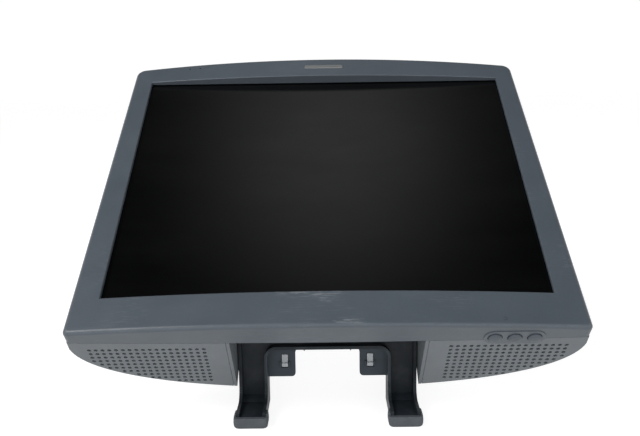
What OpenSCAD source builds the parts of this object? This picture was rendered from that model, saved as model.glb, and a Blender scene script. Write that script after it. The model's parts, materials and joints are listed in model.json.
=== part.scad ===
// Patient monitor: a 17 inch bedside screen that reclines on a two-legged table stand.
// Sizes are millimetres. The feet stand on z = 0, the screen faces -Y and x = 0 halves the part.
// The tilt axis runs along X, straight above the origin. Left and right are the viewer's: left is -X.
// The head is drawn upright in its own frame and then leaned back by on_head().
// In the head frame the origin is the middle of the picture's bottom edge, y is depth behind
// the glass and z is height up the screen.

/* [Screen] */
// width of the lit picture, a 17 inch 5:4 panel
screen_w = 338; // [300:1:380]
// height of the lit picture
screen_h = 270; // [240:1:304]
// thickness of the panel module behind the glass
panel_depth = 16; // [12:0.5:20]

/* [Bezel] */
// half width of the bezel at its top corners
half_top = 187; // [170:0.1:210]
// half width of the bezel at its bottom corners
half_bottom = 191.2; // [170:0.1:210]
// bezel below the picture
border_bottom = 32; // [20:0.5:45]
// bezel above the picture, at the middle
border_top = 29; // [20:0.1:45]
// rise of the arched top edge from corner to middle
top_arch = 5.5; // [0:0.5:12]
// how far the face stands proud of the glass at the picture's sides
face_proud = 4.2; // [2:0.1:8]
// how much further the face bulges at the middle
face_bulge = 5.7; // [0:0.1:12]
// depth of the bezel's parting line behind the glass, at the middle
bezel_back = 13.5; // [10:0.5:20]
// how much shallower the parting line is at the sides
parting_sag = 3.5; // [1:0.1:6]
// moulded wall thickness
wall = 2.5; // [1.8:0.1:4]

/* [Housing] */
// depth of the rear housing behind the parting line
rear_depth = 69.5; // [50:0.5:90]
// exponent of the housing's curve in plan: 2 is an ellipse, more is squarer
rear_power = 2.2; // [2:0.1:4]
// height up to which the back stays upright
back_straight = 185; // [120:5:220]
// upward slope of the underside, in degrees
draft = 4.7; // [0:0.1:8]
// half width of the recess that takes the stand
recess_half = 72; // [72:0.5:80]
// height of the recess ceiling above the picture's bottom edge
recess_top = 38; // [36:1:50]
// depth of the recess's front wall behind the glass
recess_front = 26; // [24:0.5:30]

/* [Speakers] */
// spacing of the grille holes across the width
hole_pitch = 5; // [4:0.1:7]
// spacing of the grille rows from front to back
row_pitch = 5.25; // [4:0.05:7]
// radius of a grille hole
hole_r = 1.55; // [0.8:0.05:1.8]
// number of grille rows
hole_rows = 10; // [4:1:11]
// most holes in one row
hole_columns = 18; // [8:1:19]

/* [Buttons] */
// radius of a push-button cap
button_r = 5; // [3.5:0.1:6]
// spacing of the three buttons
button_pitch = 14.4; // [12:0.1:18]
// push-button travel
button_travel = 1.2; // [0.5:0.1:1.5]

/* [Tilt] */
// lean of the screen from upright in the resting pose, in degrees
recline = 54; // [50:0.5:58]
// height of the tilt axis above the floor
axis_h = 67; // [64:0.5:80]
// tilt axis above the picture's bottom edge
axis_up = 15.5; // [12:0.5:18]
// tilt axis behind the glass
axis_back = 55.5; // [52:0.5:60]
// radius of the tilt shaft
shaft_r = 4; // [3:0.5:5]

/* [Stand] */
// half width over the legs
arch_half = 71.2; // [64:0.1:71.5]
// width of a leg
leg_w = 23; // [18:0.1:26]
// front face of the legs, ahead of the tilt axis
leg_front = 13; // [10:0.5:15]
// back face of the legs, behind the tilt axis
leg_back = 9; // [8:0.5:14]
// height of the gap between the legs
arch_gap_h = 52; // [46:1:54]
// reach of the toes ahead of the tilt axis
toe_reach = 46; // [35:1:60]
// reach of the heels behind the tilt axis
heel_reach = 158; // [140:1:200]
// outward turn of each rear runner, in degrees
runner_splay = 6.2; // [0:0.1:10]

/* [Hidden] */
$fn = 32;
seam = 0.3;                            // gap drawn between neighbouring mouldings
slit = 0.15;                           // gap between a rubber cap and what it wraps
far = 400;                             // longer than any part, for cuts that run right through
board_t = 1.6;                         // circuit board thickness
sheet_t = 1.2;                         // steel sheet thickness
half_picture = screen_w / 2;
face_r = (pow(half_picture, 2) + pow(face_bulge, 2)) / (2 * face_bulge);
parting_r = (pow(half_bottom, 2) + pow(parting_sag, 2)) / (2 * parting_sag);
face_front = face_proud + face_bulge;  // how far the middle of the face stands proud of the glass
rear_back = bezel_back + rear_depth;   // outermost point of the back
top_corner = screen_h + border_top - top_arch;
recess_step = -18;                     // height of the recess roof under the screen panel
cover_t = 3;                           // thickness of a speaker cover
cover_start = recess_half + wall + seam;
pod_x = 136;                           // middle of the button surround
pod_y = 8.7;
pod_half = 22.5;
pod_r = 8.2;
pod_up = 1.9;                          // inner face of the surround above the underside
board_up = 8.6;                        // button board above the underside
pinhole_x = [-133.3, -122.9];          // the two sound holes of the microphone
pinhole_z = 288.6;
plate_half = 19;                       // blank name plate
plate_low = 282;
plate_high = 287;
plate_sunk = 0.8;                      // depth of its pocket
panel_w = 358;                         // outside of the panel module
panel_h = 296;
chassis_y = panel_depth + 2;
bay_half = 62;                         // connector bay
bay_low = 46;
bay_high = 74;
bay_floor = 49.5;
vent_pitch = 7;
vent_half = 1.5;
vesa_z = 130;
vesa_half = 50;
vesa_pitch = 75;
vesa_y = rear_back - 2.2;
knuckle_x = 36.5;                      // middle of each hinge knuckle
knuckle_half = 9;
knuckle_r = 8;
pocket_half = 10;
leg_in = arch_half - leg_w;
leg_mid = arch_half - leg_w / 2;
channel_y = -5;                        // floor of the channel in the front of the stand
arch_top = 78;
toe_z = 8;                             // top of the toe
toe_wall_z = 11.5;
toe_front = -toe_reach + 4;            // the rubber cap makes the last 4 mm
stand_low = 1.5;                       // underside of the stand, held off the floor by its caps
leg_floor = 18;                        // top of the solid foot of each leg
runner_w = 15;
runner_low = 2;
runner_high = 10.5;
tongue_x = 34.5;
tongue_top = 45.5;
tongue_low = 35.5;
tab_in = 26;                           // inner edge of each corner tab
tab_low = 27;
tongue_pocket = 1;                     // depth to which the pocket behind each tongue is open
slit_corner_r = 0.5;                   // small enough to clear the square corners of the tongue
rib_x = 18.5;                          // small ribs under the crossbar

// ---- helpers -------------------------------------------------------------------------------

// leans the upright head frame back about the tilt axis
module on_head() {
    translate([0, 0, axis_h])
        rotate([-recline, 0, 0])
            translate([0, -axis_back, -axis_up])
                children();
}

// pushes a drawing in x and z through from depth y0 to depth y1
module through_y(y0, y1) {
    translate([0, y1, 0])
        rotate([90, 0, 0])
            linear_extrude(y1 - y0)
                children();
}

// pushes a drawing in y and z through from x0 to x1
module through_x(x0, x1) {
    translate([x0, 0, 0])
        rotate([90, 0, 90])
            linear_extrude(x1 - x0)
                children();
}

// a box between two opposite corners
module box(low, high) {
    translate(low)
        cube(high - low);
}

// a frame lying on the sloping underside: x and y along it, z up into the head
module on_underside(x, y) {
    translate([x, y, under_z(y)])
        rotate([draft, 0, 0])
            children();
}

// a round bar along y
module bar_y(x, z, y0, y1, r) {
    translate([x, y0, z])
        rotate([-90, 0, 0])
            cylinder(r = r, h = y1 - y0);
}

// a round bar along x
module bar_x(x0, x1, y, z, r) {
    translate([x0, y, z])
        rotate([0, 90, 0])
            cylinder(r = r, h = x1 - x0);
}

function arc(c, r, a0, a1, n = 8) =
    [for (i = [0:n]) let (a = a0 + (a1 - a0) * i / n) c + r * [cos(a), sin(a)]];

function rounded_rect(x0, y0, x1, y1, r) = concat(
    arc([x0 + r, y0 + r], r, 180, 270),
    arc([x1 - r, y0 + r], r, 270, 360),
    arc([x1 - r, y1 - r], r, 0, 90),
    arc([x0 + r, y1 - r], r, 90, 180)
);

// height of the sloping underside at depth y
function under_z(y) = -border_bottom + (y + face_front) * tan(draft);

// upper half of a superellipse, from (w, 0) over (0, d) to (-w, 0)
function half_oval(w, d, n = 60) =
    [for (i = [0:n])
        let (c = cos(180 * i / n), s = sin(180 * i / n))
        [sign(c) * w * pow(abs(c), 2 / rear_power), d * pow(s, 2 / rear_power)]];

// the housing's half width at depth y
function rear_half(y) =
    half_bottom * pow(1 - pow((y - bezel_back) / rear_depth, rear_power), 1 / rear_power);

// outline of the head from the front, drawn inset from the outer edge
function outline(inset = 0) =
    let (
        low = -border_bottom + inset,
        high = top_corner - inset,
        wide_low = half_bottom - inset,
        wide_high = half_top - inset,
        r_low = 4 - inset / 2,
        r_high = 9 - inset,
        span = wide_high - r_high
    )
    concat(
        arc([-wide_low + r_low, low + r_low], r_low, 180, 270),
        arc([wide_low - r_low, low + r_low], r_low, 270, 360),
        arc([span, high - r_high], r_high, 0, 86),
        [for (i = [1:23]) let (x = span * (1 - i / 12)) [x, high + top_arch * (1 - pow(x / span, 2))]],
        arc([-span, high - r_high], r_high, 94, 180)
    );

// ---- front bezel ---------------------------------------------------------------------------

// everything above the sloping underside
module above_underside(inset) {
    through_x(-far, far)
        polygon([
            [-far, under_z(-far) + inset],
            [far, under_z(far) + inset],
            [far, far],
            [-far, far]
        ]);
}

// everything ahead of the curved parting line, moved back by shift
module ahead_of_parting(shift) {
    swing = asin(far / parting_r);
    translate([0, 0, -far])
        linear_extrude(3 * far)
            polygon(concat(
                arc([0, bezel_back - parting_r + shift], parting_r, 90 - swing, 90 + swing, 40),
                [[-far, -far], [far, -far]]
            ));
}

// the bezel's outer form, or a smaller one inside it
module bezel_form(inset, back) {
    intersection() {
        through_y(-2 * face_front, far)
            polygon(outline(inset));
        translate([0, face_r - face_front + inset, -far])
            cylinder(r = face_r, h = 3 * far, $fn = 720);
        ahead_of_parting(back - bezel_back);
        above_underside(inset);
    }
}

// a rectangle around the picture
module picture(margin) {
    translate([-half_picture - margin, -margin])
        square([screen_w + 2 * margin, screen_h + 2 * margin]);
}

// the surround's oblong with round ends
module pod_outline(half, r) {
    polygon(rounded_rect(-half, -r, half, r, r - 0.01));
}

// hole through the underside for the button surround
module pod_hole(gap) {
    on_underside(pod_x, pod_y)
        translate([0, 0, -wall])
            linear_extrude(3 * wall)
                pod_outline(pod_half + gap, pod_r + gap);
}

// posts that carry the button board
module board_posts() {
    for (side = [-1, 1])
        on_underside(pod_x + side * 26.5, pod_y)
            translate([0, 0, 1])
                cylinder(r = 2.2, h = board_up - 1);
}

module front_bezel() {
    rim_back = -1.1;
    color([0.31, 0.34, 0.38])
        on_head()
            difference() {
                union() {
                    difference() {
                        bezel_form(0, bezel_back);
                        difference() {
                            bezel_form(wall, bezel_back + 1);
                            through_y(-far, rim_back)
                                picture(2);
                        }
                    }
                    board_posts();
                }
                through_y(-far, bezel_back)
                    picture(0);
                pod_hole(seam);
                for (x = pinhole_x)
                    bar_y(x, pinhole_z, -face_front - 1, 0, 0.6);
                through_y(-face_front - 1, -face_front + plate_sunk)
                    name_plate(seam);
            }
}

// outline of the name plate, or of its pocket
module name_plate(gap) {
    r = (plate_high - plate_low) / 2 + gap;
    polygon(rounded_rect(-plate_half - gap, plate_low - gap, plate_half + gap, plate_high + gap, r));
}

// blank pill where a name plate would sit
module badge() {
    color([0.62, 0.64, 0.65])
        on_head()
            through_y(-face_front - 0.3, -face_front + plate_sunk - 0.1)
                name_plate(0);
}

// microphone behind the two pinholes
module mic_capsule() {
    color([0.15, 0.15, 0.16])
        on_head()
            through_y(-3.6, 2)
                polygon(rounded_rect(-137, 286.2, -119.2, 291, 2));
}

// ---- screen panel --------------------------------------------------------------------------

// a rectangle centred on the picture
module panel_rect(w, h) {
    translate([-w / 2, (screen_h - h) / 2])
        square([w, h]);
}

module lcd_cell() {
    color([0.04, 0.04, 0.05])
        on_head()
            through_y(0, 1.8)
                panel_rect(screen_w + 10, screen_h + 10);
}

module lcd_frame() {
    skin = 0.7;
    color([0.2, 0.2, 0.21])
        on_head()
            difference() {
                through_y(-skin, panel_depth)
                    panel_rect(panel_w, panel_h);
                through_y(0, panel_depth + 1)
                    panel_rect(panel_w - 2 * skin, panel_h - 2 * skin);
                through_y(-far, 1)
                    panel_rect(screen_w + 4, screen_h + 4);
            }
}

module light_guide() {
    color([0.9, 0.92, 0.93])
        on_head()
            through_y(2.1, 10)
                panel_rect(screen_w + 14, screen_h + 14);
}

// steel pan behind the light guide, stiffened by pressed ribs
module backlight_tray() {
    skin = 0.8;
    color([0.72, 0.73, 0.74])
        on_head()
            difference() {
                union() {
                    through_y(10.3, panel_depth - 1)
                        panel_rect(panel_w - 4, panel_h - 4);
                    for (i = [-2:2])
                        through_y(panel_depth - 1.5, panel_depth)
                            translate([i * 66, screen_h / 2])
                                square([30, 220], center = true);
                }
                through_y(10, panel_depth - 1 - skin)
                    panel_rect(panel_w - 4 - 2 * skin, panel_h - 4 - 2 * skin);
                for (i = [-2:2])
                    through_y(10, panel_depth - skin)
                        translate([i * 66, screen_h / 2])
                            square([30 - 2 * skin, 220 - 2 * skin], center = true);
            }
}

module chassis_plate() {
    color([0.7, 0.71, 0.72])
        on_head()
            difference() {
                through_y(chassis_y, chassis_y + sheet_t)
                    translate([-165, -14])
                        square([330, 288]);
                for (x = [-120, -60, 60, 120])
                    for (z = [90, 190])
                        bar_y(x, z, chassis_y - 1, chassis_y + sheet_t + 1, 14);
            }
}

// ---- circuit boards ------------------------------------------------------------------------

// a bare board with corner standoffs that reach the chassis plate
module board(x0, z0, x1, z1, y) {
    through_y(y, y + board_t)
        translate([x0, z0])
            square([x1 - x0, z1 - z0]);
    for (x = [x0 + 6, x1 - 6])
        for (z = [z0 + 6, z1 - 6])
            bar_y(x, z, chassis_y + sheet_t + seam, y + 0.5, 3);
}

module main_board() {
    y = 26;
    top = y + board_t - 0.1;
    color([0.08, 0.32, 0.2])
        on_head() {
            board(-84, 84, 84, 214, y);
            for (x = [-60, -20, 50])
                box([x, top, 180], [x + 22, top + 2.5, 202]);
            for (i = [0:5])
                bar_y(-70 + 9 * i, 100, top, top + 9, 3.2);
            box([10, top, 90], [66, top + 8, 98]);
        }
}

module heat_sink() {
    y = 28;
    color([0.78, 0.79, 0.8])
        on_head() {
            box([20, y, 120], [64, y + 3, 164]);
            for (i = [0:7])
                box([20 + 6 * i, y + 2.9, 120], [22 + 6 * i, y + 16, 164]);
        }
}

module power_board() {
    y = 26;
    top = y + board_t - 0.1;
    color([0.55, 0.45, 0.2])
        on_head() {
            board(-158, 70, -98, 210, y);
            box([-148, top, 150], [-112, top + 20, 190]);
            for (z = [86, 108, 130])
                bar_y(-140, z, top, top + 22, 8);
            box([-120, top, 84], [-106, top + 14, 130]);
        }
}

module inverter_board() {
    y = 26;
    top = y + board_t - 0.1;
    color([0.1, 0.3, 0.35])
        on_head() {
            board(110, 80, 140, 210, y);
            for (z = [100, 140, 180])
                box([116, top, z], [134, top + 9, z + 16]);
        }
}

// ---- rear housing --------------------------------------------------------------------------

// side view of the housing in y and z
function side_profile(inset) =
    let (
        back = rear_back - inset,
        high = screen_h + border_top - inset
    )
    concat(
        [[0, under_z(0) + inset], [back, under_z(back) + inset]],
        [for (p = half_oval(rear_depth - inset, high - back_straight))
            if (p[0] >= 0) [bezel_back + p[0], back_straight + p[1]]],
        [[0, high]]
    );

// the housing's outer form, or a smaller one inside it
module rear_form(inset, front) {
    difference() {
        intersection() {
            through_y(-face_front, far)
                polygon(outline(inset));
            translate([0, 0, -far])
                linear_extrude(3 * far)
                    polygon(concat(
                        [[-half_bottom, 0], [half_bottom, 0]],
                        [for (p = half_oval(half_bottom - inset, rear_depth - inset)) p + [0, bezel_back]]
                    ));
            through_x(-far, far)
                polygon(side_profile(inset));
        }
        ahead_of_parting(front - bezel_back);
    }
}

// the recess for the stand, or the block that its walls are cut from: it starts at the
// parting line, then steps back behind the screen panel
module recess(grow) {
    difference() {
        through_x(-recess_half - grow, recess_half + grow)
            polygon([
                [0, -far],
                [far, -far],
                [far, recess_top + grow],
                [recess_front - grow, recess_top + grow],
                [recess_front - grow, recess_step + grow],
                [0, recess_step + grow]
            ]);
        ahead_of_parting(seam - grow);
    }
}

module bay(grow, front) {
    box([-bay_half - grow, front, bay_low - grow], [bay_half + grow, far, bay_high + grow]);
}

// underside skin outboard of the recess, which is the speaker cover's own piece
module cover_zone(side, gap) {
    start = cover_start - gap;
    intersection() {
        box([side > 0 ? start : -far, 0, -far], [side > 0 ? far : -start, far, far]);
        through_x(-far, far)
            polygon([
                [0, under_z(0) - far],
                [far, under_z(far) - far],
                [far, under_z(far) + cover_t + gap],
                [0, under_z(0) + cover_t + gap]
            ]);
    }
}

SCREWS = [[-140, 30, 58], [140, 30, 58], [-110, 236, 64], [110, 236, 64]];

module housing_bosses() {
    for (s = SCREWS)
        bar_y(s[0], s[1], bezel_back + 12, far / 2, 7);
    for (x = [-1, 1])
        for (z = [-1, 1])
            bar_y(x * vesa_pitch / 2, vesa_z + z * vesa_pitch / 2, vesa_y - 10, rear_back, 5.5);
}

// upright slots on both sides, from x outward: they stop short of the screw bosses
module vent_row(x, z, half, count) {
    for (side = [-1, 1])
        for (i = [0:count - 1])
            through_y(bezel_back + 10, far)
                translate([side * (x + vent_pitch * i), z])
                    polygon(rounded_rect(-vent_half, -half, vent_half, half, vent_half - 0.1));
}

module vents() {
    vent_row(24, 226, 16, 11);
    vent_row(92, 30, 12, 6);
}

module housing_shell() {
    difference() {
        rear_form(seam, bezel_back + seam);
        rear_form(wall, 0);
    }
    intersection() {
        rear_form(wall + seam, bezel_back - wall);
        recess(wall);
    }
    intersection() {
        rear_form(seam, bezel_back + seam);
        union() {
            recess(wall);
            bay(2, bay_floor - 3);
            housing_bosses();
        }
    }
}

module rear_housing() {
    color([0.43, 0.45, 0.47])
        on_head()
            difference() {
                housing_shell();
                recess(0);
                bay(0, bay_floor - 4);
                for (side = [-1, 1]) {
                    cover_zone(side, seam);
                    box(
                        [side * knuckle_x - pocket_half, 0, axis_up - 5],
                        [side * knuckle_x + pocket_half, recess_front + 1, axis_up + 5]
                    );
                }
                vents();
                box([-vesa_half, vesa_y, vesa_z - vesa_half], [vesa_half, far, vesa_z + vesa_half]);
                vesa_holes(vesa_y - 8, far);
                for (s = SCREWS) {
                    bar_y(s[0], s[1], s[2], far, 4.5);
                    bar_y(s[0], s[1], 0, far, 1.9);
                }
            }
}

module vesa_holes(y0, y1) {
    for (x = [-1, 1])
        for (z = [-1, 1])
            bar_y(x * vesa_pitch / 2, vesa_z + z * vesa_pitch / 2, y0, y1, 2.1);
}

module vesa_plate() {
    inset = vesa_half - seam;
    color([0.7, 0.71, 0.72])
        on_head()
            difference() {
                through_y(vesa_y + 0.1, vesa_y + 2)
                    polygon(rounded_rect(-inset, vesa_z - inset, inset, vesa_z + inset, 3));
                vesa_holes(0, far);
            }
}

module housing_screw(s) {
    head = s[2] + 0.1;
    color([0.3, 0.3, 0.31])
        on_head()
            difference() {
                union() {
                    bar_y(s[0], s[1], head, head + 2.6, 3.8);
                    bar_y(s[0], s[1], head - 12, head + 0.1, 1.7);
                }
                box([s[0] - 2, head + 1.3, s[1] - 0.4], [s[0] + 2, head + 4, s[1] + 0.4]);
                box([s[0] - 0.4, head + 1.3, s[1] - 2], [s[0] + 0.4, head + 4, s[1] + 2]);
            }
}

// ---- connectors ----------------------------------------------------------------------------

POWER_X = -42;
VIDEO_X = 8;
DATA_X = 40;
AUDIO_X = 54;
bay_mid = (bay_low + bay_high) / 2;

module connector_plate() {
    gap = 0.25;
    color([0.75, 0.76, 0.77])
        on_head()
            difference() {
                box(
                    [-bay_half + gap, bay_floor - sheet_t, bay_low + gap],
                    [bay_half - gap, bay_floor, bay_high - gap]
                );
                box([POWER_X - 14, 0, bay_mid - 10], [POWER_X + 14, far, bay_mid + 10]);
                box([VIDEO_X - 19, 0, bay_mid - 5], [VIDEO_X + 19, far, bay_mid + 5]);
                box([DATA_X - 7.5, 0, bay_mid - 7], [DATA_X + 7.5, far, bay_mid + 7]);
                bar_y(AUDIO_X, bay_mid, 0, far, 4);
            }
}

// mains inlet with three flat pins, for a cord that isn't part of this model
module power_inlet() {
    color([0.08, 0.08, 0.08])
        on_head() {
            difference() {
                box(
                    [POWER_X - 13.8, bay_floor - 14, bay_mid - 9.8],
                    [POWER_X + 13.8, bay_floor + 3, bay_mid + 9.8]
                );
                through_y(bay_floor - 12, far)
                    polygon([
                        [POWER_X - 12, bay_mid - 8],
                        [POWER_X + 12, bay_mid - 8],
                        [POWER_X + 12, bay_mid + 4],
                        [POWER_X + 8, bay_mid + 8],
                        [POWER_X - 8, bay_mid + 8],
                        [POWER_X - 12, bay_mid + 4]
                    ]);
            }
            for (p = [[-7, -2], [0, 2], [7, -2]])
                box(
                    [POWER_X + p[0] - 1, bay_floor - 12.1, bay_mid + p[1] - 2],
                    [POWER_X + p[0] + 1, bay_floor - 4, bay_mid + p[1] + 2]
                );
        }
}

// D-shaped socket between two threaded posts
module video_socket() {
    color([0.8, 0.8, 0.78])
        on_head()
            difference() {
                box(
                    [VIDEO_X - 18.8, bay_floor - 12, bay_mid - 4.8],
                    [VIDEO_X + 18.8, bay_floor + 4, bay_mid + 4.8]
                );
                through_y(bay_floor - 5, far)
                    polygon([
                        [VIDEO_X - 12.5, bay_mid + 4],
                        [VIDEO_X - 11, bay_mid - 4],
                        [VIDEO_X + 11, bay_mid - 4],
                        [VIDEO_X + 12.5, bay_mid + 4]
                    ]);
                for (side = [-1, 1])
                    bar_y(VIDEO_X + side * 15.8, bay_mid, bay_floor - 4, far, 1.5);
            }
}

module data_socket() {
    color([0.72, 0.73, 0.74])
        on_head()
            difference() {
                box(
                    [DATA_X - 7.3, bay_floor - 16, bay_mid - 6.8],
                    [DATA_X + 7.3, bay_floor + 2, bay_mid + 6.8]
                );
                box([DATA_X - 5.8, bay_floor - 12, bay_mid - 3.5], [DATA_X + 5.8, far, bay_mid + 4.5]);
                box([DATA_X - 3, bay_floor - 12, bay_mid - 5.5], [DATA_X + 3, far, bay_mid - 3]);
            }
}

module audio_socket() {
    color([0.25, 0.5, 0.3])
        on_head()
            difference() {
                union() {
                    bar_y(AUDIO_X, bay_mid, bay_floor - 8, bay_floor + 1.5, 3.8);
                    box(
                        [AUDIO_X - 5, bay_floor - 12, bay_mid - 5],
                        [AUDIO_X + 5, bay_floor - 1.5, bay_mid + 5]
                    );
                }
                bar_y(AUDIO_X, bay_mid, bay_floor - 10, far, 1.8);
            }
}

// ---- speakers ------------------------------------------------------------------------------

grille_x = 91.5;                       // innermost column of holes
grille_y = 21.2;                       // first row behind the glass
grille_edge = 5.15;                    // least distance from a hole's middle to the housing's edge
driver_x = 130;
driver_y = 41;
driver_r = 20;

module speaker_cover(side) {
    color([0.43, 0.45, 0.47])
        on_head()
            difference() {
                intersection() {
                    rear_form(seam, bezel_back + seam);
                    cover_zone(side, 0);
                }
                if (side > 0)
                    pod_hole(seam);
                for (row = [0:hole_rows - 1])
                    for (column = [0:hole_columns - 1])
                        grille_hole(side, grille_x + column * hole_pitch, grille_y + row * row_pitch);
            }
}

module grille_hole(side, x, y) {
    if (x + grille_edge <= rear_half(y))
        on_underside(side * x, y)
            translate([0, 0, -1])
                cylinder(r = hole_r, h = cover_t + 2, $fn = 16);
}

// basket, magnet and mounting ring of one speaker
module speaker_frame(side) {
    low = cover_t + 0.2;
    color([0.12, 0.12, 0.13])
        on_head()
            on_underside(side * driver_x, driver_y)
                rotate_extrude()
                    polygon([
                        [driver_r - 3, low],
                        [driver_r, low],
                        [driver_r, low + 2],
                        [driver_r - 3, low + 4],
                        [13, low + 12],
                        [13, low + 20],
                        [0, low + 20],
                        [0, low + 14],
                        [9, low + 11.5],
                        [driver_r - 3, low + 2]
                    ]);
}

module speaker_cone(side) {
    low = cover_t + 0.8;
    color([0.18, 0.17, 0.16])
        on_head()
            on_underside(side * driver_x, driver_y)
                rotate_extrude()
                    polygon([
                        [0, low + 8],
                        [5, low + 7.4],
                        [6, low + 9],
                        [driver_r - 3.4, low],
                        [driver_r - 3.4, low + 1],
                        [6, low + 10.2],
                        [0, low + 9]
                    ]);
}

// ---- buttons -------------------------------------------------------------------------------

module button_surround() {
    color([0.28, 0.31, 0.35])
        on_head()
            on_underside(pod_x, pod_y)
                difference() {
                    translate([0, 0, -0.6])
                        linear_extrude(pod_up + 0.6)
                            pod_outline(pod_half, pod_r);
                    for (i = [-1:1])
                        translate([i * button_pitch, 0, -2])
                            cylinder(r = button_r + 0.35, h = 6);
                }
}

// a domed cap with a flange that keeps it in, and a stem that meets the switch
module button(index) {
    rest = -2.2;                       // the cap's face below the underside
    color([0.3, 0.33, 0.37])
        on_head()
            on_underside(pod_x + (index - 2) * button_pitch, pod_y)
                rotate_extrude()
                    polygon([
                        [0, rest - 0.3],
                        [button_r * 0.55, rest - 0.15],
                        [button_r - 0.7, rest + 0.2],
                        [button_r, rest + 0.9],
                        [button_r, pod_up + 0.3],
                        [button_r + 1.2, pod_up + 0.3],
                        [button_r + 1.2, pod_up + 1.3],
                        [1.6, pod_up + 1.3],
                        [1.6, pod_up + 2.1],
                        [0, pod_up + 2.1]
                    ]);
}

module button_board() {
    color([0.08, 0.32, 0.2])
        on_head()
            on_underside(pod_x, pod_y) {
                translate([-30, -6, board_up + 0.1])
                    cube([60, 12, board_t]);
                for (i = [-1:1]) {
                    translate([i * button_pitch - 3, -3, board_up - 2.4])
                        cube([6, 6, 2.6]);
                    translate([i * button_pitch, 0, pod_up + 2.1 + button_travel + seam])
                        cylinder(r = 1.6, h = 1);
                }
            }
}

// ---- tilt hinge ----------------------------------------------------------------------------

module hinge_bracket(side) {
    x = side * knuckle_x;
    flange_y = chassis_y + sheet_t + seam;
    color([0.6, 0.61, 0.62])
        on_head()
            difference() {
                union() {
                    bar_x(x - knuckle_half, x + knuckle_half, axis_back, axis_up, knuckle_r);
                    box(
                        [x - knuckle_half, flange_y, axis_up - 4],
                        [x + knuckle_half, axis_back, axis_up + 4]
                    );
                    box([x - 15, flange_y, -4], [x + 15, flange_y + 3, 36]);
                }
                bar_x(x - 20, x + 20, axis_back, axis_up, shaft_r + 0.05);
            }
}

module hinge_shaft() {
    color([0.72, 0.72, 0.73])
        difference() {
            bar_x(-56, 56, 0, axis_h, shaft_r);
            for (side = [-1, 1])
                box([side * 55 - 2, -0.5, axis_h - far], [side * 55 + 2, 0.5, axis_h + far]);
        }
}

// flat spring ring beside each knuckle that holds the screen at any lean
module friction_disc(side) {
    x = side * (knuckle_x - (knuckle_half + pocket_half) / 2);
    color([0.5, 0.5, 0.51])
        difference() {
            bar_x(x - 0.2, x + 0.2, 0, axis_h, knuckle_r - 1);
            bar_x(x - 2, x + 2, 0, axis_h, shaft_r + 0.05);
        }
}

// ---- stand ---------------------------------------------------------------------------------

// the upside-down U seen from the front, or the channel sunk into it
function arch(inset, low) =
    let (
        outer = arch_half - inset,
        inner = leg_in + inset,
        high = arch_top - inset,
        gap = arch_gap_h + inset,
        r_out = 18 - inset,
        r_in = 7 + inset
    )
    concat(
        [[outer, low]],
        arc([outer - r_out, high - r_out], r_out, 0, 90),
        arc([-outer + r_out, high - r_out], r_out, 90, 180),
        [[-outer, low], [-inner, low]],
        arc([-inner + r_in, gap - r_in], r_in, 180, 90),
        arc([inner - r_in, gap - r_in], r_in, 90, 0),
        [[inner, low]]
    );

// side view of a leg with its toe, in y and z
function leg_side() =
    let (r = 10)
    concat(
        [[leg_back, stand_low], [leg_back, 40], [-leg_front, 40]],
        arc([-leg_front - r, toe_wall_z + r], r, 0, -90),
        [[toe_front, toe_wall_z], [toe_front, stand_low]]
    );

// the channel over a toe, with a ramp up to the leg's own channel
module toe_channel(x0, x1) {
    through_x(x0, x1)
        polygon([
            [channel_y, 50],
            [channel_y, toe_z + 4],
            [channel_y - 6.4, toe_z],
            [toe_front - 1, toe_z],
            [toe_front - 1, 50]
        ]);
}

// follows one runner: turned outward about the middle of its leg
module on_runner(side) {
    translate([side * leg_mid, 0, 0])
        rotate([0, 0, -side * runner_splay])
            children();
}

module runner_socket(side) {
    on_runner(side)
        box(
            [-runner_w / 2 - slit, -3 - slit, stand_low - 1],
            [runner_w / 2 + slit, 60, runner_high + slit]
        );
}

// web in the corner of the arch, with a collar and a pocket around its snap tongue
module corner_tab(side) {
    fillet = 5.5;
    corner = 3;
    mirror([side > 0 ? 0 : 1, 0, 0]) {
        through_y(channel_y, channel_y + wall)
            polygon(concat(
                [[leg_in + 1, tab_low], [leg_in + 1, arch_gap_h + 1], [tab_in - fillet, arch_gap_h + 1]],
                arc([tab_in - fillet, arch_gap_h - fillet], fillet, 90, 0),
                arc([tab_in + corner, tab_low + corner], corner, 180, 270)
            ));
        intersection() {
            through_y(channel_y - 1.6, channel_y + 1)
                polygon(rounded_rect(tongue_x - 4.1, tongue_low - 2, tongue_x + 4.1, tongue_top, 3.2));
            box([0, -far, 0], [far, far, tongue_low + 4.5]);
        }
        box(
            [tongue_x - 4.2, channel_y + 1, tongue_low - 1.7],
            [tongue_x + 4.2, tongue_pocket + 1, tongue_top + 1.7]
        );
    }
}

module tongue_slit(side) {
    through_y(-far, tongue_pocket)
        polygon(rounded_rect(
            side * tongue_x - 2.9, tongue_low - 0.6,
            side * tongue_x + 2.9, tongue_top + seam,
            slit_corner_r
        ));
}

// solid cheeks that carry the shaft on both sides of each knuckle pocket
module shaft_cheeks() {
    for (side = [-1, 1])
        for (x = [knuckle_x - pocket_half - 7, knuckle_x + pocket_half])
            box(
                [side > 0 ? x : -x - 7, channel_y - 1.5, arch_gap_h + 1],
                [side > 0 ? x + 7 : -x, leg_back, arch_top - 1]
            );
}

module leg_block(side) {
    x0 = side > 0 ? leg_in : -arch_half;
    through_x(x0, x0 + leg_w)
        polygon(leg_side());
}

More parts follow.
